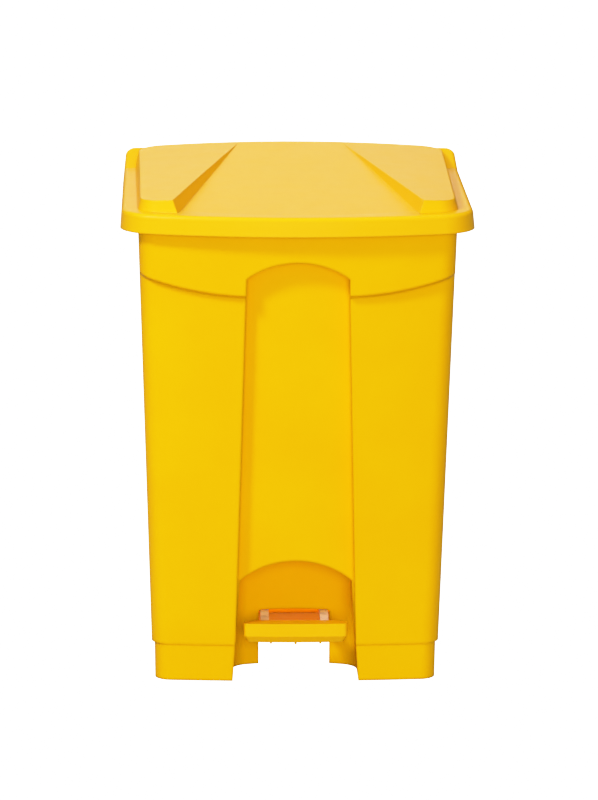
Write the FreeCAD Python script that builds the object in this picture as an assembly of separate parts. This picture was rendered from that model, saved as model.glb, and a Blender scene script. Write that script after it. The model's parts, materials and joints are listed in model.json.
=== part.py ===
import FreeCAD, Part
import math
import os

# Pedal bin, 45 litre class. Millimetres, X to the right, Y to the back, Z up.
# The origin is on the floor under the centre of the bin's footprint.
V = FreeCAD.Vector

# Body
SHELL_TOP = 562.0
PLINTH_TOP = 45.0
HALF_WIDTH_FLOOR = 171.2
SIDE_DRAFT = 0.0296
FRONT_FLOOR = -146.3
FRONT_DRAFT = 0.0503
BACK_FLOOR = 162.0
BACK_DRAFT = 0.0296
BOW_LOW = 1700.0
BOW_HIGH = 760.0
BODY_CORNER = 22.0
WALL = 3.0
PLINTH_HALF = 168.4
PLINTH_FRONT = -147.0
PLINTH_BACK = 158.5
PLINTH_CORNER = 19.0
BIN_FLOOR = 92.0
BAND_PROUD = 7.2
BAND_EDGE_Z = 477.0
BAND_EDGE_START_X = 52.0
BAND_EDGE_RADIUS = 405.0
BAND_EDGE_FALL = 4.0
RIM_OUT = 6.0
RIM_THICK = 4.0
BUFFER_OUT = 2.8
BUFFER_HEAD_R = 3.2
BUFFER_STEM_R = 1.6

# Front recess and toe niche
RECESS_DEPTH = 14.0
RECESS_HALF_TOP = 60.4
RECESS_SPRING_Z = 497.0
RECESS_ARCH_Z = 517.0
RECESS_SPREAD = 0.0261
NICHE_HALF_TOP = 67.0
NICHE_HALF_FLOOR = 75.5
NICHE_SPRING_Z = 122.0
NICHE_ARCH_Z = 147.0
NICHE_SIDE_Y = -97.0
NICHE_CORNER = 22.0
NICHE_BACK_Y = -67.0
NOTCH_HALF = 43.0
NOTCH_TOP = 67.6
NOTCH_CORNER = 3.0

# Rear groove for the push rod
GROOVE_HALF = 28.0
GROOVE_Y = 137.0

# Lid hinge and crank
HINGE_Y = 188.0
HINGE_Z = 556.0
HINGE_PIN_R = 3.0
KNUCKLE_R = 7.0
STATION_X = 100.0
CRANK_REACH = 21.4
CRANK_REST = math.radians(37.5)
CRANK_PIN_Y = HINGE_Y - CRANK_REACH
CRANK_PIN_Z = HINGE_Z - CRANK_REACH * math.tan(CRANK_REST)
CRANK_X = 9.0
CRANK_THICK = 3.0
CRANK_BASE_Z = 588.0

# Pedal linkage: the rod rises twice the crank pin's depth below the hinge
PEDAL_Y = 12.0
PEDAL_Z = 60.0
AXLE_R = 5.0
RIB_X = 50.0
RIB_THICK = 4.0
ARM_X = 36.0
ARM_WIDE = 10.0
ARM_HALF_HIGH = 6.0
ARM_SHEET = 2.0
ROD_Y = 146.0
ROD_R = 3.0
ROD_RISE = 2 * CRANK_REACH * math.tan(CRANK_REST)
CROSSBAR_R = 4.0
CROSSBAR_Z = PEDAL_Z - ROD_RISE / 2
STOP_Z = 80.7

# Lid
LID_HALF = 208.4
LID_FRONT = -199.0
LID_BACK = 199.0
LID_BOW = 680.0
LID_CORNER = 48.0
LID_BACK_CORNER = 18.0
LID_LOW = 551.0
LID_FLANGE = 573.8
LID_EDGE_R = 5.0
LID_FLARE = 2.3
LID_WALL = 3.0
LID_REAR_LOW = 557.0
DOME_INSET = 17.0
DOME_SIDE_INSET = 20.4
DOME_SPREAD = 5.0
DOME_FRONT_Z = 593.2
DOME_BACK_Z = 599.2
DOME_CROWN = 2500.0
VALLEY_FRONT_Z = 572.3
VALLEY_BACK_Z = 599.7
VALLEY_HALF_FRONT = 147.5
VALLEY_HALF_BACK = 62.8
VALLEY_SLANT = 0.45
RAMP_START_Y = 144.0
RAMP_END_Y = 192.0
RAMP_RISE = 17.2

# Tread
TREAD_HALF = 62.0
TREAD_HALF_REAR = 46.0
TREAD_FRONT = -150.0
TREAD_REAR = -112.0
TREAD_TOP = 72.0
TREAD_DROP = 6.0
TREAD_WALL = 3.0

# Fixings
FIT = 0.06
SCREW_R = 2.0
SCREW_GAP = 0.08


def box(x0, x1, y0, y1, z0, z1):
    return Part.makeBox(x1 - x0, y1 - y0, z1 - z0, V(x0, y0, z0))


def rod_x(r, x0, x1, y, z):
    return Part.makeCylinder(r, x1 - x0, V(x0, y, z), V(1, 0, 0))


def rod_y(r, x, y0, y1, z):
    return Part.makeCylinder(r, y1 - y0, V(x, y0, z), V(0, 1, 0))


def rod_z(r, x, y, z0, z1):
    return Part.makeCylinder(r, z1 - z0, V(x, y, z0))


def line(a, b):
    return Part.LineSegment(a, b).toShape()


def arc(a, m, b):
    return Part.Arc(a, m, b).toShape()


def mirrored(shape):
    return shape.mirror(V(0, 0, 0), V(1, 0, 0))


def both_sides(shape):
    return Part.makeCompound([shape, mirrored(shape)])


def outline(z, half, front, back, bow, corner, back_corner=None, spread=0.0):
    """Closed plan outline at height z: bowed front, straight sides and back, round corners."""
    if back_corner is None:
        back_corner = corner
    half_back = half + spread
    xc = half - corner
    yc = front + bow - math.sqrt((bow - corner) ** 2 - xc ** 2)
    k = bow / (bow - corner)
    centre_y = front + bow
    t1 = V(xc * k, centre_y + (yc - centre_y) * k, z)
    a1 = math.atan2(t1.y - yc, t1.x - xc)
    m1 = V(xc + corner * math.cos(a1 / 2), yc + corner * math.sin(a1 / 2), z)
    t2 = V(half, yc, z)
    t3 = V(half_back, back - back_corner, z)
    s = back_corner * (1 - math.sqrt(0.5))
    m2 = V(half_back - s, back - s, z)
    t4 = V(half_back - back_corner, back, z)

    def flip(p):
        return V(-p.x, p.y, p.z)

    edges = [
        arc(flip(t1), V(0, front, z), t1),
        arc(t1, m1, t2),
        line(t2, t3),
        arc(t3, m2, t4),
        line(t4, flip(t4)),
        arc(flip(t4), flip(m2), flip(t3)),
        line(flip(t3), flip(t2)),
        arc(flip(t2), flip(m1), flip(t1)),
    ]
    return Part.Wire(edges)


def body_section(z, inset=0.0, proud=0.0):
    """The bin's plan outline at height z, moved inwards by inset and its front forwards by proud."""
    share = (z - PLINTH_TOP) / (SHELL_TOP - PLINTH_TOP)
    bow = BOW_LOW + (BOW_HIGH - BOW_LOW) * share
    return outline(
        z,
        HALF_WIDTH_FLOOR + SIDE_DRAFT * z - inset,
        FRONT_FLOOR - FRONT_DRAFT * z + inset - proud,
        BACK_FLOOR + BACK_DRAFT * z - inset,
        bow - inset,
        BODY_CORNER - inset,
    )


def body_loft(z0, z1, inset=0.0, proud=0.0):
    return Part.makeLoft([body_section(z0, inset, proud), body_section(z1, inset, proud)], True, True)


def plinth_loft(z0, z1, inset):
    """The set-in foot of the body; it flares slightly towards its top."""
    sections = []
    for z in (z0, z1):
        flare = 0.013 * z
        sections.append(outline(
            z,
            PLINTH_HALF + flare - inset,
            PLINTH_FRONT - flare + inset,
            PLINTH_BACK + 2 * flare - inset,
            BOW_LOW - inset,
            PLINTH_CORNER - inset,
        ))
    return Part.makeLoft(sections, True, True)


def front_face_prism(points_and_arcs, y0, y1):
    wire = Part.Wire(points_and_arcs)
    return Part.Face(wire).extrude(V(0, y1 - y0, 0))


def recess_prism(grow, y0, y1):
    """Tall arched panel seen from the front, grown outwards by grow."""
    half_top = RECESS_HALF_TOP + grow
    half_low = RECESS_HALF_TOP + RECESS_SPREAD * RECESS_SPRING_Z + grow
    a = V(-half_low, y0, 0)
    b = V(half_low, y0, 0)
    c = V(half_top, y0, RECESS_SPRING_Z)
    d = V(-half_top, y0, RECESS_SPRING_Z)
    m = V(0, y0, RECESS_ARCH_Z + grow)
    return front_face_prism([line(a, b), line(b, c), arc(c, m, d), line(d, a)], y0, y1)


def recess(grow, depth_inset):
    """The shallow recess: the arched panel, as deep as a shell set in by depth_inset."""
    return recess_prism(grow, -260, 0).cut(body_loft(-1, SHELL_TOP + 1, depth_inset))


def niche(grow):
    """The toe niche: arched in front view, with a rounded back in plan."""
    top = NICHE_HALF_TOP + grow
    low = NICHE_HALF_FLOOR + grow
    y0 = -260.0
    a = V(-low, y0, 0)
    b = V(low, y0, 0)
    c = V(top, y0, NICHE_SPRING_Z)
    d = V(-top, y0, NICHE_SPRING_Z)
    m = V(0, y0, NICHE_ARCH_Z + grow)
    arched = front_face_prism([line(a, b), line(b, c), arc(c, m, d), line(d, a)], y0, 0)
    half = NICHE_HALF_FLOOR + grow
    side = V(half, NICHE_SIDE_Y, 0)
    turn = math.radians(75)
    r = NICHE_CORNER + grow
    cx = half - r
    on_back = V(cx + r * math.cos(turn), NICHE_SIDE_Y + r * math.sin(turn), 0)
    mid = V(cx + r * math.cos(turn / 2), NICHE_SIDE_Y + r * math.sin(turn / 2), 0)
    back = V(0, NICHE_BACK_Y + grow, 0)

    def flip(p):
        return V(-p.x, p.y, p.z)

    plan = Part.Wire([
        line(V(-half, y0, 0), V(half, y0, 0)),
        line(V(half, y0, 0), side),
        arc(side, mid, on_back),
        arc(on_back, back, flip(on_back)),
        arc(flip(on_back), flip(mid), flip(side)),
        line(flip(side), V(-half, y0, 0)),
    ])
    return arched.common(Part.Face(plan).extrude(V(0, 0, 260)))


def band():
    """The prouder upper band of the front, with a swept lower edge that slopes back into the wall."""
    solid = Part.makeLoft(
        [band_section(400.0), band_section(SHELL_TOP)], True, True)
    slope = BAND_EDGE_FALL / BAND_PROUD
    share = (BAND_EDGE_Z - PLINTH_TOP) / (SHELL_TOP - PLINTH_TOP)
    bow = BOW_LOW + (BOW_HIGH - BOW_LOW) * share
    front = FRONT_FLOOR - FRONT_DRAFT * BAND_EDGE_Z - BAND_PROUD
    corner_x = HALF_WIDTH_FLOOR + SIDE_DRAFT * BAND_EDGE_Z - BODY_CORNER
    corner_y = front + bow - math.sqrt((bow - BODY_CORNER) ** 2 - corner_x ** 2)
    xs = [corner_x * i / 9 for i in range(10)]
    xs += [corner_x + BODY_CORNER * math.sin(math.radians(a)) for a in (20, 35, 50, 62, 74, 84)]
    points = []
    for x in xs:
        run = max(0.0, x - BAND_EDGE_START_X)
        z = BAND_EDGE_Z + BAND_EDGE_RADIUS - math.sqrt(BAND_EDGE_RADIUS ** 2 - run ** 2)
        if x <= corner_x:
            y = front + bow - math.sqrt(bow ** 2 - x ** 2)
        else:
            y = corner_y - math.sqrt(BODY_CORNER ** 2 - (x - corner_x) ** 2)
        points.append(V(x, -260, z + (y + 260) * slope))
    edge = Part.BSplineCurve()
    edge.interpolate([V(-p.x, p.y, p.z) for p in reversed(points[1:])] + points)
    first = V(-points[-1].x, points[-1].y, points[-1].z)
    last = points[-1]
    wire = Part.Wire([
        edge.toShape(),
        line(last, V(230, -260, last.z)),
        line(V(230, -260, last.z), V(230, -260, 0)),
        line(V(230, -260, 0), V(-230, -260, 0)),
        line(V(-230, -260, 0), V(-230, -260, first.z)),
        line(V(-230, -260, first.z), first),
    ])
    under = Part.Face(wire).extrude(V(0, 260, -260 * slope))
    return solid.cut(under)


def band_section(z):
    share = (z - PLINTH_TOP) / (SHELL_TOP - PLINTH_TOP)
    bow = BOW_LOW + (BOW_HIGH - BOW_LOW) * share
    return outline(
        z,
        HALF_WIDTH_FLOOR + SIDE_DRAFT * z - 0.25,
        FRONT_FLOOR - FRONT_DRAFT * z - BAND_PROUD,
        0.0,
        bow,
        BODY_CORNER,
    )


def notch(y0, y1):
    """Opening with rounded upper corners for the pedal arms."""
    r = NOTCH_CORNER
    a = V(-NOTCH_HALF, y0, -1)
    b = V(NOTCH_HALF, y0, -1)
    c = V(NOTCH_HALF, y0, NOTCH_TOP - r)
    d = V(NOTCH_HALF - r, y0, NOTCH_TOP)
    s = r * (1 - math.sqrt(0.5))
    m = V(NOTCH_HALF - s, y0, NOTCH_TOP - s)

    def flip(p):
        return V(-p.x, p.y, p.z)

    wire = [
        line(a, b),
        line(b, c),
        arc(c, m, d),
        line(d, flip(d)),
        arc(flip(d), flip(m), flip(c)),
        line(flip(c), a),
    ]
    return front_face_prism(wire, y0, y1)


def hinge_ear(x0, x1):
    """One ear of the body's hinge station: a barrel on a web that runs into the back wall."""
    barrel = rod_x(KNUCKLE_R, x0, x1, HINGE_Y, HINGE_Z)
    wall_y = BACK_FLOOR + BACK_DRAFT * HINGE_Z - 1.5
    web = Part.Face(Part.makePolygon([
        V(x0, wall_y, SHELL_TOP - 0.5),
        V(x0, HINGE_Y, HINGE_Z + KNUCKLE_R - 0.3),
        V(x0, HINGE_Y, HINGE_Z - KNUCKLE_R + 0.3),
        V(x0, wall_y, HINGE_Z - 18),
        V(x0, wall_y, SHELL_TOP - 0.5),
    ])).extrude(V(x1 - x0, 0, 0))
    return barrel.fuse(web)


def axle_rib(x0, x1):
    """Bearing rib under the bin's floor, carrying one end of the pedal axle."""
    foot = rod_x(12.0, x0, x1, PEDAL_Y, PEDAL_Z)
    plate = box(x0, x1, PEDAL_Y - 12, PEDAL_Y + 12, PEDAL_Z, BIN_FLOOR + 1)
    brace = Part.Face(Part.makePolygon([
        V(x0, PEDAL_Y - 60, BIN_FLOOR + 1),
        V(x0, PEDAL_Y + 60, BIN_FLOOR + 1),
        V(x0, PEDAL_Y + 8, PEDAL_Z + 6),
        V(x0, PEDAL_Y - 8, PEDAL_Z + 6),
        V(x0, PEDAL_Y - 60, BIN_FLOOR + 1),
    ])).extrude(V(x1 - x0, 0, 0))
    return foot.fuse([plate, brace])


def guide_heights():
    return [150.0, 430.0]


def screw_boss(x, z):
    return rod_y(5.0, x, GROOVE_Y - 11, GROOVE_Y - 1, z)


def outer_body():
    plinth = plinth_loft(0, PLINTH_TOP + 0.5, 0.0)
    shell = body_loft(PLINTH_TOP, SHELL_TOP)
    upper = band()
    rim_low = body_section(SHELL_TOP - RIM_THICK, -RIM_OUT + 1.5, BAND_PROUD)
    rim_high = body_section(SHELL_TOP, -RIM_OUT, BAND_PROUD)
    rim = Part.makeLoft([rim_low, rim_high], True, True)
    solid = shell.fuse([plinth, upper, rim])
    solid = solid.cut(recess(0.0, RECESS_DEPTH))
    solid = solid.cut(niche(0.0))

    inside = body_loft(BIN_FLOOR + WALL, SHELL_TOP + 5, WALL)
    behind_band = band()
    behind_band.translate(V(0, 0, WALL))
    behind_band = behind_band.common(body_loft(400.0, SHELL_TOP + 5, WALL, BAND_PROUD))
    inside = inside.fuse(behind_band)
    inside = inside.cut(recess(WALL, RECESS_DEPTH + WALL))
    inside = inside.cut(niche(WALL))
    groove_wall = box(-GROOVE_HALF - WALL, GROOVE_HALF + WALL, GROOVE_Y - WALL, 260, 0, 700)
    inside = inside.cut(groove_wall)
    for z in guide_heights():
        for x in (-15.0, 15.0):
            inside = inside.cut(screw_boss(x, z))
    solid = solid.cut(inside)

    under = plinth_loft(-1, PLINTH_TOP - WALL, WALL)
    under = under.fuse(body_loft(PLINTH_TOP - WALL, BIN_FLOOR, 2 * WALL))
    under = under.cut(niche(WALL))
    under = under.cut(recess(WALL, RECESS_DEPTH + WALL))
    for x in (-RIB_X - RIB_THICK, RIB_X):
        under = under.cut(axle_rib(x, x + RIB_THICK))
    solid = solid.cut(under)

    solid = solid.cut(notch(-100, -50))
    groove = box(-GROOVE_HALF, GROOVE_HALF, GROOVE_Y, 260, BIN_FLOOR + WALL, 700)
    solid = solid.cut(groove)
    solid = solid.cut(rod_z(6.5, 0, ROD_Y, BIN_FLOOR - 5, BIN_FLOOR + 10))
    solid = solid.cut(rod_x(AXLE_R + FIT, -80, 80, PEDAL_Y, PEDAL_Z))
    for z in guide_heights():
        for x in (-15.0, 15.0):
            solid = solid.cut(rod_y(SCREW_R + SCREW_GAP, x, GROOVE_Y - 9, GROOVE_Y + 1, z))

    for side in (-1, 1):
        clear_y = BACK_FLOOR + BACK_DRAFT * SHELL_TOP + 0.1
        solid = solid.cut(box(side * STATION_X - 26, side * STATION_X + 26, clear_y, 200, 550, 565))
        for x in (STATION_X - 14, STATION_X + 14):
            solid = solid.fuse(hinge_ear(side * x - 6, side * x + 6))
    solid = solid.cut(rod_x(HINGE_PIN_R + FIT, -180, 180, HINGE_Y, HINGE_Z))
    for x, y in buffer_places():
        solid = solid.cut(rod_z(BUFFER_STEM_R + SCREW_GAP, x, y, SHELL_TOP - RIM_THICK - 2.5, SHELL_TOP + 1))
    return solid


def buffer_places():
    """Plan positions of the lid buffers, on the rim just outside the wall."""
    half = HALF_WIDTH_FLOOR + SIDE_DRAFT * SHELL_TOP
    front = FRONT_FLOOR - FRONT_DRAFT * SHELL_TOP - BAND_PROUD
    x = 110.0
    bow_y = front + BOW_HIGH - math.sqrt(BOW_HIGH ** 2 - x ** 2)
    places = []
    for side in (-1, 1):
        places.append((side * x, bow_y - BUFFER_OUT))
        places.append((side * (half + BUFFER_OUT), 90.0))
    return places


def lid_buffers():
    """Rubber buttons pushed into the rim; the closed lid rests on them."""
    parts = []
    for x, y in buffer_places():
        head = rod_z(BUFFER_HEAD_R, x, y, SHELL_TOP + 0.02, LID_FLANGE - LID_WALL - 0.25)
        stem = rod_z(BUFFER_STEM_R, x, y, SHELL_TOP - RIM_THICK - 2, SHELL_TOP + 1)
        parts.append(head.fuse(stem).removeSplitter())
    return Part.makeCompound(parts)


def dome(shrink):
    """Raised part of the lid: crowned across, leaning sides a little wider apart at the back."""
    half = LID_HALF - DOME_SIDE_INSET - shrink
    front = LID_FRONT + DOME_INSET + shrink
    bow = LID_BOW - DOME_INSET - shrink
    low = outline(LID_FLANGE - 30, half + 8, front - 8, LID_BACK - shrink, bow,
                  30.0 - shrink, spread=DOME_SPREAD)
    high = outline(LID_FLANGE + 30, half - 8, front + 8, LID_BACK - 3 - shrink, bow,
                   26.0 - shrink, spread=DOME_SPREAD)
    plan = Part.makeLoft([low, high], True, True)

    def crown(y, z_mid):
        x = 240.0
        z_side = z_mid - DOME_CROWN + math.sqrt(DOME_CROWN ** 2 - x ** 2)
        a = V(-x, y, z_side - shrink)
        b = V(x, y, z_side - shrink)
        m = V(0, y, z_mid - shrink)
        return Part.Wire([
            arc(a, m, b),
            line(b, V(x, y, 530)),
            line(V(x, y, 530), V(-x, y, 530)),
            line(V(-x, y, 530), a),
        ])

    top = Part.makeLoft([crown(-200, DOME_FRONT_Z - 0.8), crown(210, DOME_BACK_Z)], True, True)
    return plan.common(top)


def valley(shrink):
    """What is taken out between the two raised side panels: a ramp that meets them at the back."""
    def section(y, z_mid, half, crown):
        half = half + shrink
        z_mid = z_mid - shrink
        z_side = z_mid - crown + math.sqrt(crown ** 2 - half ** 2)
        up = 60.0
        a = V(-half, y, z_side)
        b = V(half, y, z_side)
        c = V(half + VALLEY_SLANT * up, y, z_side + up)
        d = V(-half - VALLEY_SLANT * up, y, z_side + up)
        return Part.Wire([arc(a, V(0, y, z_mid), b), line(b, c), line(c, d), line(d, a)])

    return Part.makeLoft([
        section(-200, VALLEY_FRONT_Z, VALLEY_HALF_FRONT, 5000.0),
        section(200, VALLEY_BACK_Z, VALLEY_HALF_BACK, DOME_CROWN),
    ], True, True)


def lid_tray(shrink, low_z):
    """The lid's skirt and flange as a filled block; the flange ramps up at the back."""
    lean = LID_FLARE / (LID_FLANGE - LID_LOW)
    top = LID_FLANGE - shrink
    high_z = LID_FLANGE + 30.0
    low_in = shrink + lean * (low_z - LID_LOW)
    high_in = shrink + lean * (high_z - LID_LOW)
    block = Part.makeLoft([
        outline(z, LID_HALF - inset, LID_FRONT + inset, LID_BACK - shrink, LID_BOW - inset,
                LID_CORNER - inset, LID_BACK_CORNER - inset)
        for z, inset in ((low_z, low_in), (high_z, high_in))
    ], True, True)
    above = Part.Face(Part.makePolygon([
        V(-230, -230, top),
        V(-230, RAMP_START_Y, top),
        V(-230, RAMP_END_Y, top + RAMP_RISE),
        V(-230, 230, top + RAMP_RISE),
        V(-230, 230, 700),
        V(-230, -230, 700),
        V(-230, -230, top),
    ])).extrude(V(460, 0, 0))
    return block.cut(above)


def lid_raised(shrink):
    """The two raised side panels and the ramp between them."""
    raised = dome(shrink).cut(valley(shrink))
    return raised.cut(box(-300, 300, -300, 300, 400, LID_FLANGE - shrink - 3))


def rounded(shape, radius, pick):
    edges = [e for e in shape.Edges if pick(e)]
    return shape.makeFillet(radius, edges)


def lid_shell():
    tray = lid_tray(0.0, LID_LOW)
    tray = rounded(tray, LID_EDGE_R, lambda e: e.BoundBox.ZMin > LID_FLANGE - 0.1)
    outer = tray.fuse(lid_raised(0.0))
    inner = lid_tray(LID_WALL, LID_LOW - 6).fuse(lid_raised(LID_WALL))
    shell = outer.cut(inner)
    shell = shell.cut(box(-170, 170, 180, 230, 500, LID_REAR_LOW))
    for side in (-1, 1):
        x0 = side * STATION_X - 7.6
        x1 = side * STATION_X + 7.6
        knuckle = rod_x(KNUCKLE_R, x0, x1, HINGE_Y, HINGE_Z)
        web = box(x0, x1, HINGE_Y - 4, HINGE_Y + 4, HINGE_Z, 595)
        shell = shell.fuse([knuckle, web])
    for y in crank_screw_places():
        boss = rod_z(6.0, CRANK_X + 21, y, CRANK_BASE_Z, 595.5)
        shell = shell.fuse(boss)
    shell = shell.cut(rod_x(HINGE_PIN_R + FIT, -180, 180, HINGE_Y, HINGE_Z))
    for y in crank_screw_places():
        shell = shell.cut(rod_z(SCREW_R + SCREW_GAP, CRANK_X + 21, y, CRANK_BASE_Z - 1, CRANK_BASE_Z + 6))
    return shell


def crank_screw_places():
    return [158.0, 178.0]


def crank_bracket():
    """Folded steel bracket under the lid; its slot takes the push rod's bent end."""
    x0 = CRANK_X
    x1 = CRANK_X + CRANK_THICK
    plate = Part.Face(Part.makePolygon([
        V(x0, 151, CRANK_BASE_Z - 0.05),
        V(x0, 185, CRANK_BASE_Z - 0.05),
        V(x0, 185, 562),
        V(x0, 178, 541),
        V(x0, 170, 531),
        V(x0, 161, 529),
        V(x0, 155, 534),
        V(x0, 151, 548),
        V(x0, 151, CRANK_BASE_Z - 0.05),
    ])).extrude(V(CRANK_THICK, 0, 0))
    base = box(x0, x0 + 30, 151, 185, CRANK_BASE_Z - CRANK_THICK, CRANK_BASE_Z - 0.05)
    bracket = plate.fuse(base)
    ends = []
    half = ROD_R + 1.25
    for reach in (20.9, 27.5):
        y = HINGE_Y - reach * math.cos(CRANK_REST)
        z = HINGE_Z - reach * math.sin(CRANK_REST)
        ends.append(V(x0 - 1, y, z))
        bracket = bracket.cut(rod_x(half, x0 - 1, x1 + 1, y, z))
    across = V(0, -math.sin(CRANK_REST), math.cos(CRANK_REST)) * half
    slot = Part.Face(Part.makePolygon([
        ends[0] + across, ends[1] + across, ends[1] - across, ends[0] - across, ends[0] + across,
    ])).extrude(V(CRANK_THICK + 2, 0, 0))
    bracket = bracket.cut(slot)
    for y in crank_screw_places():
        bracket = bracket.cut(rod_z(SCREW_R + 0.2, CRANK_X + 21, y, 570, 600))
    return bracket


def pan_screw(shank_r, head_r, head_h, length):
    """Screw along +Z with its head below z = 0, a domed head and a cross slot."""
    head = Part.makeCylinder(head_r, head_h, V(0, 0, -head_h))
    slot = box(-head_r * 0.6, head_r * 0.6, -0.35, 0.35, -head_h - 0.1, -head_h + 0.8)
    cross = box(-0.35, 0.35, -head_r * 0.6, head_r * 0.6, -head_h - 0.1, -head_h + 0.8)
    head = rounded(head, head_h * 0.4, lambda e: e.BoundBox.ZMax < -head_h + 0.01)
    shank = Part.makeCylinder(shank_r, length, V(0, 0, -0.2))
    return head.cut(slot).cut(cross).fuse(shank)


def crank_screws():
    parts = []
    for y in crank_screw_places():
        screw = pan_screw(SCREW_R, 4.0, 2.4, 8.0)
        screw.translate(V(CRANK_X + 21, y, CRANK_BASE_Z - CRANK_THICK - 0.02))
        parts.append(screw)
    return Part.makeCompound(parts)


def hinge_pins():
    """Two steel hinge pins, headed on the inner end."""
    shaft = rod_x(HINGE_PIN_R, STATION_X - 21, STATION_X + 24, HINGE_Y, HINGE_Z)
    head = rod_x(5.5, STATION_X - 23, STATION_X - 20.4, HINGE_Y, HINGE_Z)
    pin = shaft.fuse(head)
    return both_sides(pin)


def push_on_clip(bore_r, outer_r, x0):
    """Push-on retaining clip: a thin disc with a raised collar, around a shaft along X."""
    disc = Part.makeCylinder(outer_r, 0.8, V(x0, 0, 0), V(1, 0, 0))
    collar = Part.makeCylinder(bore_r + 1.0, 2.0, V(x0, 0, 0), V(1, 0, 0))
    hole = Part.makeCylinder(bore_r, 6.0, V(x0 - 2, 0, 0), V(1, 0, 0))
    return disc.fuse(collar).cut(hole)


def hinge_clips():
    clip = push_on_clip(HINGE_PIN_R + 0.03, 6.5, STATION_X + 20.2)
    clip.translate(V(0, HINGE_Y, HINGE_Z))
    return both_sides(clip)


def pedal_axle():
    shaft = rod_x(AXLE_R, -62, 62, PEDAL_Y, PEDAL_Z)
    return shaft.makeChamfer(0.8, [e for e in shaft.Edges if len(e.Vertexes) == 1])


def axle_clips():
    clip = push_on_clip(AXLE_R + 0.03, 10.0, RIB_X + RIB_THICK + 0.2)
    clip.translate(V(0, PEDAL_Y, PEDAL_Z))
    return both_sides(clip)


def arm_bushes():
    """Nylon bushes pressed into the pedal arms, running on the axle."""
    bore = AXLE_R + FIT
    tube = rod_x(7.0, ARM_X - 5.5, ARM_X + 5.5, PEDAL_Y, PEDAL_Z)
    lip = rod_x(9.0, ARM_X + ARM_WIDE / 2 + 0.05, ARM_X + ARM_WIDE / 2 + 1.5, PEDAL_Y, PEDAL_Z)
    hole = rod_x(bore, 0, 80, PEDAL_Y, PEDAL_Z)
    return both_sides(tube.fuse(lip).cut(hole))


def arm_profile(x, half):
    """Side view of a pedal arm: level front, a rise into the niche wall, bent down behind the axle."""
    centre = [(-143.0, 55.5), (-106.0, 55.5), (-78.0, 61.0), (PEDAL_Y, PEDAL_Z), (ROD_Y, CROSSBAR_Z)]
    upper = []
    lower = []
    for i, (y, z) in enumerate(centre):
        before = centre[max(i - 1, 0)]
        after = centre[min(i + 1, len(centre) - 1)]
        ty = after[0] - before[0]
        tz = after[1] - before[1]
        n = math.hypot(ty, tz)
        upper.append(V(x, y - tz / n * half, z + ty / n * half))
        lower.append(V(x, y + tz / n * half, z - ty / n * half))
    points = upper + lower[::-1]
    return Part.Face(Part.makePolygon(points + [points[0]]))


def pedal_arm():
    """Pressed steel channel, open below, with widened eyes at the axle and the crossbar."""
    x0 = ARM_X - ARM_WIDE / 2
    arm = arm_profile(x0, ARM_HALF_HIGH).extrude(V(ARM_WIDE, 0, 0))
    eye = rod_x(11.0, x0, x0 + ARM_WIDE, PEDAL_Y, PEDAL_Z)
    tail = rod_x(8.5, x0, x0 + ARM_WIDE, ROD_Y, CROSSBAR_Z)
    arm = arm.fuse([eye, tail])
    hollow = arm_profile(x0 + ARM_SHEET, ARM_HALF_HIGH - ARM_SHEET)
    hollow = hollow.extrude(V(ARM_WIDE - 2 * ARM_SHEET, 0, 0))
    lowered = hollow.copy()
    lowered.translate(V(0, 0, -3.5))
    low2 = hollow.copy()
    low2.translate(V(0, 0, -7.0))
    arm = arm.cut(hollow.fuse([lowered, low2]))
    arm = arm.cut(rod_x(9.0, x0 + ARM_SHEET, x0 + ARM_WIDE - ARM_SHEET, PEDAL_Y, PEDAL_Z))
    arm = arm.cut(rod_x(6.5, x0 + ARM_SHEET, x0 + ARM_WIDE - ARM_SHEET, ROD_Y, CROSSBAR_Z))
    arm = arm.cut(rod_x(7.03, 0, 80, PEDAL_Y, PEDAL_Z))
    arm = arm.cut(rod_x(CROSSBAR_R + 0.03, 0, 80, ROD_Y, CROSSBAR_Z))
    for y in tread_screw_places():
        arm = arm.cut(rod_z(SCREW_R + 0.15, ARM_X, y, 56, 70))
    return arm


def tread_screw_places():
    return [-137.0, -120.0]


def crossbar():
    bar = rod_x(CROSSBAR_R, -46, 46, ROD_Y, CROSSBAR_Z)
    return bar.makeChamfer(0.6, [e for e in bar.Edges if len(e.Vertexes) == 1])


def crossbar_clips():
    clip = push_on_clip(CROSSBAR_R + 0.03, 7.5, ARM_X + ARM_WIDE / 2 + 0.2)
    clip.translate(V(0, ROD_Y, CROSSBAR_Z))
    return both_sides(clip)


def tread_plan(z, grow):
    """Plan of the tread at height z: wide rounded front, narrower rear."""
    f = TREAD_FRONT - grow
    b = TREAD_REAR + grow
    w = TREAD_HALF + grow
    wr = TREAD_HALF_REAR + grow
    r = 5.0
    sag = 2.0
    a = V(w - r, f + sag, z)
    m = V(w - r * (1 - math.sqrt(0.5)), f + sag + r * (1 - math.sqrt(0.5)), z)
    c = V(w, f + sag + r, z)
    d = V(w, f + 18, z)
    e = V(wr, b, z)

    def flip(p):
        return V(-p.x, p.y, p.z)

    return Part.Wire([
        arc(flip(a), V(0, f, z), a),
        arc(a, m, c),
        line(c, d),
        line(d, e),
        line(e, flip(e)),
        line(flip(e), flip(d)),
        line(flip(d), flip(c)),
        arc(flip(c), flip(m), flip(a)),
    ])


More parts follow.
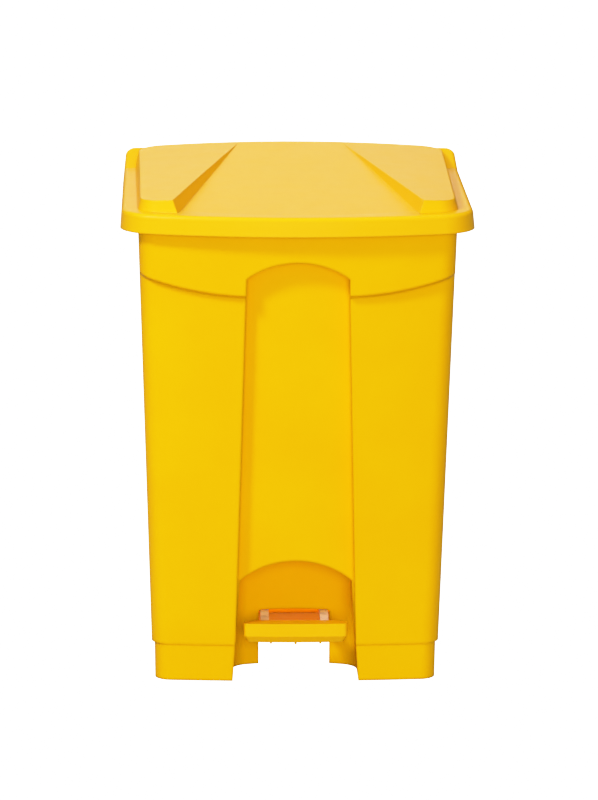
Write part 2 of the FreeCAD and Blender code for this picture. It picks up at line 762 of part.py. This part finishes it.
def tread_block(grow, z_drop):
    """Tread as a filled block under its sloping top."""
    bevel = [tread_plan(48.0 + z_drop, grow - 4.0), tread_plan(56.0 + z_drop, grow)]
    block = Part.makeLoft(bevel, True, True)
    block = block.fuse(Part.Face(tread_plan(56.0 + z_drop, grow)).extrude(V(0, 0, 30)))
    z_front = tread_top_z(TREAD_FRONT - 20) + z_drop
    z_rear = tread_top_z(TREAD_REAR + 20) + z_drop
    above = Part.Face(Part.makePolygon([
        V(-90, TREAD_FRONT - 20, z_front),
        V(-90, TREAD_REAR + 20, z_rear),
        V(-90, TREAD_REAR + 20, 120),
        V(-90, TREAD_FRONT - 20, 120),
        V(-90, TREAD_FRONT - 20, z_front),
    ])).extrude(V(180, 0, 0))
    return block.cut(above)


def tread_top_z(y):
    slope = TREAD_DROP / (TREAD_REAR - TREAD_FRONT)
    return TREAD_TOP - slope * (y - TREAD_FRONT)


def pedal_tread():
    """Moulded tread: hollow below, with arm sockets, a centre rib and screw bosses."""
    outer = tread_block(0.0, 0.0).removeSplitter()
    inner = tread_block(-TREAD_WALL, -TREAD_WALL)
    inner = inner.fuse(box(-56, 56, TREAD_FRONT + 8, TREAD_REAR - 4, 30, 52))
    tread = outer.cut(inner)
    within = tread_block(-1.0, -1.0)
    ribs = []
    for side in (-1, 1):
        a = side * (ARM_X - ARM_WIDE / 2 - 1.35)
        b = side * (ARM_X + ARM_WIDE / 2 + 1.35)
        ribs.append(box(a - 1.2, a + 1.2, TREAD_FRONT + 2, TREAD_REAR - 1, 46, 72))
        ribs.append(box(b - 1.2, b + 1.2, TREAD_FRONT + 2, TREAD_REAR - 1, 50, 72))
    ribs.append(box(-1.2, 1.2, TREAD_FRONT + 2, TREAD_REAR - 1, 45, 72))
    column = tread_block(-1.0, -1.0).fuse(box(-50, 50, TREAD_FRONT + 6, TREAD_REAR - 3, 40, 56))
    for rib in ribs:
        tread = tread.fuse(rib.common(column))
    for side in (-1, 1):
        for y in tread_screw_places():
            boss = rod_z(4.2, side * ARM_X, y, 55.5 + ARM_HALF_HIGH + 0.1, 72).common(within)
            tread = tread.fuse(boss)
    arm_slot = arm_profile(ARM_X - ARM_WIDE / 2 - 0.12, ARM_HALF_HIGH + 0.08)
    arm_slot = arm_slot.extrude(V(ARM_WIDE + 0.24, 0, 0))
    tread = tread.cut(arm_slot).cut(mirrored(arm_slot))
    half = ARM_WIDE / 2 + 0.12
    low_slot = box(ARM_X - half, ARM_X + half, TREAD_REAR - 6, TREAD_REAR + 5, 30, 60)
    tread = tread.cut(low_slot).cut(mirrored(low_slot))
    for side in (-1, 1):
        for y in tread_screw_places():
            tread = tread.cut(rod_z(SCREW_R + SCREW_GAP, side * ARM_X, y, 60, tread_top_z(y) - 1.6))
    return tread


def tread_screws():
    """Screws from below, through the arms into the tread."""
    parts = []
    for side in (-1, 1):
        for y in tread_screw_places():
            screw = pan_screw(SCREW_R, 2.8, 1.8, tread_top_z(y) - 1.9 - 59.4)
            screw.translate(V(side * ARM_X, y, 55.5 + ARM_HALF_HIGH - ARM_SHEET - 0.03))
            parts.append(screw)
    return Part.makeCompound(parts)


def rounded_path(points, radius):
    """Wire through the points with each inner corner rounded."""
    edges = []
    start = points[0]
    for i in range(1, len(points) - 1):
        p = points[i]
        u = (points[i - 1] - p)
        w = (points[i + 1] - p)
        u.normalize()
        w.normalize()
        half = u.getAngle(w) / 2
        cut_back = radius / math.tan(half)
        a = p + u * cut_back
        b = p + w * cut_back
        middle = u + w
        middle.normalize()
        m = p + middle * (radius / math.sin(half) - radius)
        edges.append(line(start, a))
        edges.append(arc(a, m, b))
        start = b
    edges.append(line(start, points[-1]))
    return Part.Wire(edges)


def push_rod():
    """Bent wire from the pedal's crossbar up the groove to the lid's crank."""
    path = rounded_path([
        V(0, ROD_Y, CROSSBAR_Z + 5.6),
        V(0, ROD_Y, 486),
        V(0, CRANK_PIN_Y, 514),
        V(0, CRANK_PIN_Y, CRANK_PIN_Z),
        V(CRANK_X + CRANK_THICK + 9, CRANK_PIN_Y, CRANK_PIN_Z),
    ], 5.0)
    start = Part.Wire([Part.Circle(V(0, ROD_Y, CROSSBAR_Z + 5.6), V(0, 0, 1), ROD_R).toShape()])
    return path.makePipeShell([start], True, True)


def rod_foot():
    """Moulded foot on the push rod; the crossbar sits in its slot."""
    y0 = ROD_Y - 7.4
    y1 = ROD_Y + 8.3
    z0 = CROSSBAR_Z - CROSSBAR_R - 3.8
    z1 = CROSSBAR_Z + 14.2
    foot = box(-7, 7, y0, y1, z0, z1)
    foot = rounded(foot, 2.5, lambda e: abs(e.BoundBox.XLength - 14) < 0.01)
    rise = CROSSBAR_R + 0.28
    mid = ROD_Y + 0.46
    slot = box(-8, 8, mid - 0.5, mid + 0.5, CROSSBAR_Z - rise, CROSSBAR_Z + rise)
    slot = slot.fuse([rod_x(rise, -8, 8, mid - 0.5, CROSSBAR_Z), rod_x(rise, -8, 8, mid + 0.5, CROSSBAR_Z)])
    foot = foot.cut(slot)
    return foot.cut(rod_z(ROD_R + 0.03, 0, ROD_Y, CROSSBAR_Z + 5.4, z1 + 1))


def rod_clip():
    clip = push_on_clip(ROD_R + 0.03, 6.5, CRANK_X + CRANK_THICK + 1.0)
    clip.translate(V(0, CRANK_PIN_Y, CRANK_PIN_Z))
    return clip


def rod_guide(z):
    """Moulded guide screwed to the groove's wall; the push rod slides in its bore."""
    base = box(-22, 22, GROOVE_Y + 0.02, GROOVE_Y + 4, z - 11, z + 11)
    base = rounded(base, 4.0, lambda e: abs(e.BoundBox.YLength - 3.98) < 0.01)
    nose = box(-7, 7, GROOVE_Y + 3, ROD_Y, z - 9, z + 9).fuse(rod_z(7.0, 0, ROD_Y, z - 9, z + 9))
    guide = base.fuse(nose)
    guide = guide.cut(rod_z(ROD_R + 0.09, 0, ROD_Y, z - 20, z + 20))
    for x in (-15.0, 15.0):
        guide = guide.cut(rod_y(SCREW_R + 0.2, x, GROOVE_Y - 1, GROOVE_Y + 6, z))
    return guide


def guide_screws():
    parts = []
    for z in guide_heights():
        for x in (-15.0, 15.0):
            screw = pan_screw(SCREW_R, 3.8, 2.4, 12.0)
            screw.rotate(V(0, 0, 0), V(1, 0, 0), 90)
            screw.translate(V(x, GROOVE_Y + 4.02, z))
            parts.append(screw)
    return Part.makeCompound(parts)


def pedal_stops():
    """Rubber blocks under the bin's floor that stop the arms at full travel."""
    parts = []
    for side in (-1, 1):
        block = rod_z(8.0, side * ARM_X, 118.0, STOP_Z, BIN_FLOOR - 0.02)
        block = rounded(block, 1.5, lambda e: e.BoundBox.ZMax < STOP_Z + 0.2)
        parts.append(block)
    return Part.makeCompound(parts)


def save(name, shape):
    shape.exportStep("parts/" + name + ".step")


def main():
    os.makedirs("parts", exist_ok=True)
    save("outer_body", outer_body())
    save("lid_buffers", lid_buffers())
    save("hinge_pins", hinge_pins())
    save("hinge_clips", hinge_clips())
    save("pedal_axle", pedal_axle())
    save("axle_clips", axle_clips())
    save("pedal_stops", pedal_stops())
    low, high = guide_heights()
    save("rod_guide_lower", rod_guide(low))
    save("rod_guide_upper", rod_guide(high))
    save("guide_screws", guide_screws())
    save("lid_shell", lid_shell())
    save("crank_bracket", crank_bracket())
    save("crank_screws", crank_screws())
    save("push_rod", push_rod())
    save("rod_foot", rod_foot())
    save("rod_clip", rod_clip())
    save("pedal_tread", pedal_tread())
    arm = pedal_arm()
    save("pedal_arm_right", arm)
    save("pedal_arm_left", mirrored(arm))
    save("arm_bushes", arm_bushes())
    save("crossbar", crossbar())
    save("crossbar_clips", crossbar_clips())
    save("tread_screws", tread_screws())


main()
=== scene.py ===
import json
import math

import bpy
from mathutils import Matrix, Vector


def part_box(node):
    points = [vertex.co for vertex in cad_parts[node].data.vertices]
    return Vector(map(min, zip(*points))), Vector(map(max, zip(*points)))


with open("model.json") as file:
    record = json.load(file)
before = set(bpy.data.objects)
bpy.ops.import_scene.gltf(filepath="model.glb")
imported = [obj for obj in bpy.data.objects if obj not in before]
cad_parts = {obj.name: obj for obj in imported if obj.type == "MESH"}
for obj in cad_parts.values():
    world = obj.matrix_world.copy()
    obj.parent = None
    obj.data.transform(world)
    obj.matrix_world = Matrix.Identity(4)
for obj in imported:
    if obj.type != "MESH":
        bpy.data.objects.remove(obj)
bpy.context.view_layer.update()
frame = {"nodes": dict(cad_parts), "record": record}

NODES = frame["nodes"]
SLOT_OF = {part["node"]: part["material_slot"] for part in frame["record"]["subparts"]}

# Camera: a long lens five metres in front of the bin and a little above it
CAMERA_PLACE = (-0.1467, -5.0, 1.459)
CAMERA_YAW = math.radians(-1.758)
CAMERA_DOWN = math.radians(12.908)
CAMERA_ROLL = math.radians(0.331)
LENS_MM = 189.6
SENSOR_MM = 36.0

# Linear colours
YELLOW_BODY = (0.93, 0.475, 0.0)
YELLOW_LID = (0.93, 0.475, 0.001)
YELLOW_TREAD = (0.95, 0.49, 0.0)
RUBBER_DARK = (0.012, 0.012, 0.012)
RUBBER_DUSTY = (0.045, 0.044, 0.042)
NYLON_DEEP = (0.66, 0.64, 0.58)
NYLON_PALE = (0.78, 0.77, 0.72)
STEEL_BRIGHT = (0.66, 0.66, 0.66)
STEEL_SPRING = (0.30, 0.30, 0.32)
STEEL_SCREW = (0.60, 0.61, 0.62)
ZINC_WIRE = (0.60, 0.61, 0.63)
ZINC_SHEET = (0.84, 0.85, 0.87)
WHITE = (1.0, 1.0, 1.0)
WARM_WHITE = (1.0, 0.93, 0.86)
DIM_WHITE = (1.0, 0.97, 0.92)
GLOW_ORANGE = (1.0, 0.255, 0.0)

# How far the shading of an edge is rounded, in metres
BODY_EDGE = 0.005
LID_EDGE = 0.0026
TREAD_EDGE = 0.0012
SMALL_EDGE = 0.0006
DRAWN_EDGE = 0.0005

# Scale of a drawn grain along each axis: a small number stretches it
ALONG_X = (0.05, 1.0, 1.0)
EVEN = (1.0, 1.0, 1.0)

# The stretch of a noise texture's values that spans the full change of gloss, and of tint
NOISE_SPAN = (0.3, 0.7)
CLOUD_SPAN = (0.35, 0.65)

# Floor and surroundings: the camera sees both as plain white
WHITE_LEVEL = 2.0
WHITE_GLOW = 1.1 * WHITE_LEVEL
FLOOR_HALF = 9.0
FLOOR_GREY = 0.3
ROOM_LIGHT = 0.34
ROOM_REFLECTION = 0.035

# The floor enclosed by the bin's walls: how far it lies inside the body's sides, how
# far behind the pedal axle it begins, and how far inside the body's back it ends
SIDE_INSET = 0.03
AXLE_TO_SHADE = 0.085
BACK_INSET = 0.035

# Studio lamps: place, the point that each one faces, size in metres and power in watts
LAMPS = {
    "key": {
        "place": (-2.3, -2.4, 3.5),
        "target": (0.0, 0.0, 0.35),
        "size": (0.75, 0.75),
        "watts": 105,
    },
    "front_fill": {
        "place": (0.1, -5.2, 1.2),
        "target": (0.0, 0.0, 0.3),
        "size": (2.4, 2.0),
        "watts": 175,
        "mirrored": False,
    },
    "overhead": {
        "place": (0.0, 0.4, 3.2),
        "target": (0.0, 0.0, 0.5),
        "size": (2.2, 2.2),
        "watts": 36,
        "mirrored": False,
    },
    "back_card": {
        "place": (-0.4, 3.4, 1.75),
        "target": (0.0, 0.0, 0.6),
        "size": (2.2, 1.6),
        "watts": 10,
    },
    "back_fill": {
        "place": (0.0, 5.0, 1.3),
        "target": (0.0, 0.0, 0.3),
        "size": (1.6, 1.6),
        "watts": 110,
        "mirrored": False,
    },
}

# The lamp under the bin: its place from the pedal axle's box, its size and its power
GLOW_BEHIND_AXLE = 0.08
GLOW_ABOVE_AXLE = 0.022
GLOW_SIZE = (0.2, 0.08)
GLOW_WATTS = 0.385

# Display curve: straight in the darks, with a soft shoulder for the bright yellows
TONE_POINTS = (
    (0.25, 0.25),
    (0.5, 0.5),
    (0.62, 0.615),
    (0.8, 0.765),
    (1.1, 0.895),
    (1.4, 0.965),
)


def new_material(name):
    material = bpy.data.materials.new(name)
    material.use_nodes = True
    tree = material.node_tree
    shader = tree.nodes["Principled BSDF"]
    return material, tree, shader


def object_coords(tree):
    return tree.nodes.new("ShaderNodeTexCoord").outputs["Object"]


def noise(tree, coords, scale, detail=2.0):
    node = tree.nodes.new("ShaderNodeTexNoise")
    node.inputs["Scale"].default_value = scale
    node.inputs["Detail"].default_value = detail
    tree.links.new(coords, node.inputs["Vector"])
    return node.outputs["Fac"]


def remap(tree, value, span, new_span):
    node = tree.nodes.new("ShaderNodeMapRange")
    node.inputs["From Min"].default_value = span[0]
    node.inputs["From Max"].default_value = span[1]
    node.inputs["To Min"].default_value = new_span[0]
    node.inputs["To Max"].default_value = new_span[1]
    tree.links.new(value, node.inputs["Value"])
    return node.outputs["Result"]


def mix_colour(tree, factor, first, second):
    """Blend of two colours; the colour mix has its factor, colours and result at 0, 6, 7 and 2."""
    node = tree.nodes.new("ShaderNodeMix")
    node.data_type = "RGBA"
    node.inputs[6].default_value = (*first, 1.0)
    node.inputs[7].default_value = (*second, 1.0)
    tree.links.new(factor, node.inputs[0])
    return node.outputs[2]


def mix_shaders(tree, factor, first, second):
    node = tree.nodes.new("ShaderNodeMixShader")
    tree.links.new(factor, node.inputs[0])
    tree.links.new(first, node.inputs[1])
    tree.links.new(second, node.inputs[2])
    return node.outputs[0]


def math_node(tree, operation, first, second):
    node = tree.nodes.new("ShaderNodeMath")
    node.operation = operation
    for socket, value in zip(node.inputs, (first, second)):
        if isinstance(value, (int, float)):
            socket.default_value = value
        else:
            tree.links.new(value, socket)
    return node.outputs[0]


def bump(tree, height, strength, distance, normal=None):
    node = tree.nodes.new("ShaderNodeBump")
    node.inputs["Strength"].default_value = strength
    node.inputs["Distance"].default_value = distance
    tree.links.new(height, node.inputs["Height"])
    if normal is not None:
        tree.links.new(normal, node.inputs["Normal"])
    return node.outputs["Normal"]


def soft_edges(tree, radius):
    node = tree.nodes.new("ShaderNodeBevel")
    node.samples = 6
    node.inputs["Radius"].default_value = radius
    return node.outputs["Normal"]


def scaled(colour, factor):
    return tuple(channel * factor for channel in colour)


def moulded_plastic(name, colour, roughness, specular, edge_radius, unevenness=1.0):
    """Satin moulded polypropylene: fine grain, faint flow clouding, a few smudges.

    Unevenness scales how strongly the colour, the gloss and the surface vary.
    """
    material, tree, shader = new_material(name)
    coords = object_coords(tree)
    red, green, blue = colour
    deep = (red * 0.99, green * (1.0 - 0.03 * unevenness), blue)
    pale = (min(red * 1.01, 1.0), green * (1.0 + 0.02 * unevenness), blue)
    clouds = remap(tree, noise(tree, coords, scale=9.0, detail=3.0), CLOUD_SPAN, (0.0, 1.0))
    tree.links.new(mix_colour(tree, clouds, deep, pale), shader.inputs["Base Color"])
    smudges = noise(tree, coords, scale=38.0, detail=4.0)
    vary = 0.02 + 0.04 * unevenness
    gloss = remap(tree, smudges, NOISE_SPAN, (roughness - vary, roughness + vary))
    tree.links.new(gloss, shader.inputs["Roughness"])
    shader.inputs["Specular IOR Level"].default_value = specular
    grain = noise(tree, coords, scale=1500.0)
    waves = noise(tree, coords, scale=22.0)
    normal = soft_edges(tree, edge_radius)
    normal = bump(tree, waves, strength=0.08 * unevenness, distance=0.0015, normal=normal)
    normal = bump(tree, grain, strength=0.04 + 0.06 * unevenness, distance=0.0003, normal=normal)
    tree.links.new(normal, shader.inputs["Normal"])
    return material


def rubber(name):
    """Matt black rubber with a fine pitted skin."""
    material, tree, shader = new_material(name)
    coords = object_coords(tree)
    dust = noise(tree, coords, scale=260.0, detail=4.0)
    tree.links.new(mix_colour(tree, dust, RUBBER_DARK, RUBBER_DUSTY), shader.inputs["Base Color"])
    tree.links.new(remap(tree, dust, NOISE_SPAN, (0.62, 0.85)), shader.inputs["Roughness"])
    pits = noise(tree, coords, scale=2400.0)
    tree.links.new(bump(tree, pits, strength=0.25, distance=0.0002), shader.inputs["Normal"])
    return material


def drawn_steel(name, colour, roughness, stretch):
    """Steel with fine drawn lines and a little staining."""
    material, tree, shader = new_material(name)
    coords = object_coords(tree)
    mapping = tree.nodes.new("ShaderNodeMapping")
    mapping.inputs["Scale"].default_value = stretch
    tree.links.new(coords, mapping.inputs["Vector"])
    lines = noise(tree, mapping.outputs["Vector"], scale=700.0, detail=3.0)
    stains = noise(tree, coords, scale=90.0, detail=4.0)
    tint = mix_colour(tree, stains, scaled(colour, 0.82), scaled(colour, 1.1))
    tree.links.new(tint, shader.inputs["Base Color"])
    shader.inputs["Metallic"].default_value = 1.0
    gloss = remap(tree, lines, NOISE_SPAN, (roughness - 0.08, roughness + 0.12))
    tree.links.new(gloss, shader.inputs["Roughness"])
    normal = bump(tree, lines, strength=0.2, distance=0.0001, normal=soft_edges(tree, DRAWN_EDGE))
    tree.links.new(normal, shader.inputs["Normal"])
    return material


def zinc(name, colour, spangle_scale, metallic=1.0):
    """Galvanised steel: zinc spangle in cells of slightly different grey and gloss."""
    material, tree, shader = new_material(name)
    coords = object_coords(tree)
    cells = tree.nodes.new("ShaderNodeTexVoronoi")
    cells.inputs["Scale"].default_value = spangle_scale
    tree.links.new(coords, cells.inputs["Vector"])
    shade = tree.nodes.new("ShaderNodeSeparateColor")
    tree.links.new(cells.outputs["Color"], shade.inputs["Color"])
    grey, polish = shade.outputs[0], shade.outputs[1]
    tint = mix_colour(tree, grey, scaled(colour, 0.8), scaled(colour, 1.12))
    tree.links.new(tint, shader.inputs["Base Color"])
    shader.inputs["Metallic"].default_value = metallic
    tree.links.new(remap(tree, polish, (0.0, 1.0), (0.28, 0.5)), shader.inputs["Roughness"])
    dull = noise(tree, coords, scale=500.0, detail=3.0)
    normal = bump(tree, dull, strength=0.15, distance=0.0001, normal=soft_edges(tree, SMALL_EDGE))
    tree.links.new(normal, shader.inputs["Normal"])
    return material


def nylon(name):
    """Natural white nylon, slightly waxy."""
    material, tree, shader = new_material(name)
    coords = object_coords(tree)
    clouds = noise(tree, coords, scale=120.0, detail=3.0)
    tree.links.new(mix_colour(tree, clouds, NYLON_DEEP, NYLON_PALE), shader.inputs["Base Color"])
    tree.links.new(remap(tree, clouds, NOISE_SPAN, (0.38, 0.52)), shader.inputs["Roughness"])
    grain = noise(tree, coords, scale=1800.0)
    normal = bump(tree, grain, strength=0.1, distance=0.0002, normal=soft_edges(tree, SMALL_EDGE))
    tree.links.new(normal, shader.inputs["Normal"])
    return material


def make_materials():
    """One material for each material slot of the record."""
    return {
        "body_plastic": moulded_plastic(
            "body_plastic", YELLOW_BODY, roughness=0.45, specular=0.06, edge_radius=BODY_EDGE,
        ),
        "lid_plastic": moulded_plastic(
            "lid_plastic", YELLOW_LID, roughness=0.33, specular=0.13, edge_radius=LID_EDGE,
            unevenness=0.05,
        ),
        "tread_plastic": moulded_plastic(
            "tread_plastic", YELLOW_TREAD, roughness=0.36, specular=0.15, edge_radius=TREAD_EDGE,
            unevenness=0.6,
        ),
        "rubber": rubber("rubber"),
        "bright_steel": drawn_steel("bright_steel", STEEL_BRIGHT, roughness=0.25, stretch=ALONG_X),
        "spring_steel": drawn_steel("spring_steel", STEEL_SPRING, roughness=0.35, stretch=EVEN),
        "screw_steel": drawn_steel("screw_steel", STEEL_SCREW, roughness=0.30, stretch=EVEN),
        "zinc_wire": zinc("zinc_wire", ZINC_WIRE, spangle_scale=260.0),
        "zinc_sheet": zinc("zinc_sheet", ZINC_SHEET, spangle_scale=160.0, metallic=0.5),
        "nylon": nylon("nylon"),
    }


def dress(materials):
    for name, piece in NODES.items():
        piece.data.materials.clear()
        piece.data.materials.append(materials[SLOT_OF[name]])


def outside_footprint(tree):
    """1 on the open floor, 0 on the floor enclosed by the bin's own walls."""
    body_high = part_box("outer_body")[1]
    axle_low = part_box("pedal_axle")[0]
    split = tree.nodes.new("ShaderNodeSeparateXYZ")
    tree.links.new(object_coords(tree), split.inputs[0])
    x, y = split.outputs["X"], split.outputs["Y"]
    from_middle = math_node(tree, "ABSOLUTE", x, 0.0)
    beyond_side = math_node(tree, "GREATER_THAN", from_middle, body_high[0] - SIDE_INSET)
    ahead = math_node(tree, "LESS_THAN", y, axle_low[1] + AXLE_TO_SHADE)
    behind = math_node(tree, "GREATER_THAN", y, body_high[1] - BACK_INSET)
    before_or_behind = math_node(tree, "MAXIMUM", ahead, behind)
    return math_node(tree, "MAXIMUM", beyond_side, before_or_behind)


def floor_material():
    """Matt grey that the camera sees as glowing white, and as clear from underneath."""
    material, tree, shader = new_material("floor")
    shader.inputs["Base Color"].default_value = (FLOOR_GREY, FLOOR_GREY, FLOOR_GREY, 1.0)
    shader.inputs["Roughness"].default_value = 1.0
    shader.inputs["Specular IOR Level"].default_value = 0.0
    glow = tree.nodes.new("ShaderNodeEmission")
    glow.inputs["Strength"].default_value = WHITE_GLOW
    clear = tree.nodes.new("ShaderNodeBsdfTransparent")
    seen = tree.nodes.new("ShaderNodeLightPath").outputs["Is Camera Ray"]
    open_floor = math_node(tree, "MULTIPLY", seen, outside_footprint(tree))
    from_above = mix_shaders(tree, open_floor, shader.outputs[0], glow.outputs[0])
    underneath = tree.nodes.new("ShaderNodeNewGeometry").outputs["Backfacing"]
    one_sided = mix_shaders(tree, underneath, from_above, clear.outputs[0])
    tree.links.new(one_sided, tree.nodes["Material Output"].inputs["Surface"])
    return material


def make_floor():
    """Plain pale floor, lit from within like a white light table."""
    mesh = bpy.data.meshes.new("floor")
    corners = [
        (-FLOOR_HALF, -FLOOR_HALF, 0),
        (FLOOR_HALF, -FLOOR_HALF, 0),
        (FLOOR_HALF, FLOOR_HALF, 0),
        (-FLOOR_HALF, FLOOR_HALF, 0),
    ]
    mesh.from_pydata(corners, [], [(0, 1, 2, 3)])
    floor = bpy.data.objects.new("floor", mesh)
    bpy.context.scene.collection.objects.link(floor)
    mesh.materials.append(floor_material())


def background(tree, colour, strength):
    node = tree.nodes.new("ShaderNodeBackground")
    node.inputs["Color"].default_value = (*colour, 1.0)
    node.inputs["Strength"].default_value = strength
    return node.outputs[0]


def make_world():
    """Soft even light all round, dim in reflections and plain white to the camera."""
    world = bpy.data.worlds.new("studio")
    bpy.context.scene.world = world
    world.use_nodes = True
    tree = world.node_tree
    tree.nodes.remove(tree.nodes["Background"])
    ambient = background(tree, WARM_WHITE, ROOM_LIGHT)
    white = background(tree, WHITE, WHITE_GLOW)
    dim = background(tree, DIM_WHITE, ROOM_REFLECTION)
    path = tree.nodes.new("ShaderNodeLightPath")
    room = mix_shaders(tree, path.outputs["Is Glossy Ray"], ambient, dim)
    shown = mix_shaders(tree, path.outputs["Is Camera Ray"], room, white)
    tree.links.new(shown, tree.nodes["World Output"].inputs["Surface"])


def area_light(name, place, target, size, watts, mirrored=True, colour=WHITE):
    data = bpy.data.lights.new(name, "AREA")
    data.shape = "RECTANGLE"
    data.size, data.size_y = size
    data.energy = watts
    data.color = colour
    light = bpy.data.objects.new(name, data)
    light.location = place
    direction = Vector(target) - Vector(place)
    light.rotation_euler = direction.to_track_quat("-Z", "Y").to_euler()
    bpy.context.scene.collection.objects.link(light)
    light.visible_camera = False
    light.visible_glossy = mirrored


def make_lights():
    for name, lamp in LAMPS.items():
        area_light(name, **lamp)
    # Daylight that comes through the thin yellow walls into the hollow under the bin
    axle_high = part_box("pedal_axle")[1]
    place = (0.0, axle_high[1] + GLOW_BEHIND_AXLE, axle_high[2] + GLOW_ABOVE_AXLE)
    straight_below = (0.0, place[1], 0.0)
    area_light("under_glow", place, straight_below, GLOW_SIZE, GLOW_WATTS, colour=GLOW_ORANGE)


def make_camera():
    data = bpy.data.cameras.new("camera")
    data.lens = LENS_MM
    data.sensor_width = SENSOR_MM
    camera = bpy.data.objects.new("camera", data)
    yaw = Matrix.Rotation(CAMERA_YAW, 4, "Z")
    tilt = Matrix.Rotation(math.pi / 2 - CAMERA_DOWN, 4, "X")
    roll = Matrix.Rotation(CAMERA_ROLL, 4, "Z")
    camera.matrix_world = Matrix.Translation(CAMERA_PLACE) @ yaw @ tilt @ roll
    bpy.context.scene.collection.objects.link(camera)
    bpy.context.scene.camera = camera


def make_tone():
    """Plain display with the curve of TONE_POINTS, so that bright yellow doesn't clip."""
    view = bpy.context.scene.view_settings
    view.view_transform = "Standard"
    view.look = "None"
    view.use_curve_mapping = True
    mapping = view.curve_mapping
    mapping.white_level = (WHITE_LEVEL, WHITE_LEVEL, WHITE_LEVEL)
    all_channels = mapping.curves[3]
    all_channels.points[0].location = (0.0, 0.0)
    all_channels.points[1].location = (1.0, 1.0)
    for light, shown in TONE_POINTS:
        all_channels.points.new(light / WHITE_LEVEL, shown)
    mapping.update()


dress(make_materials())
make_floor()
make_world()
make_lights()
make_camera()
make_tone()
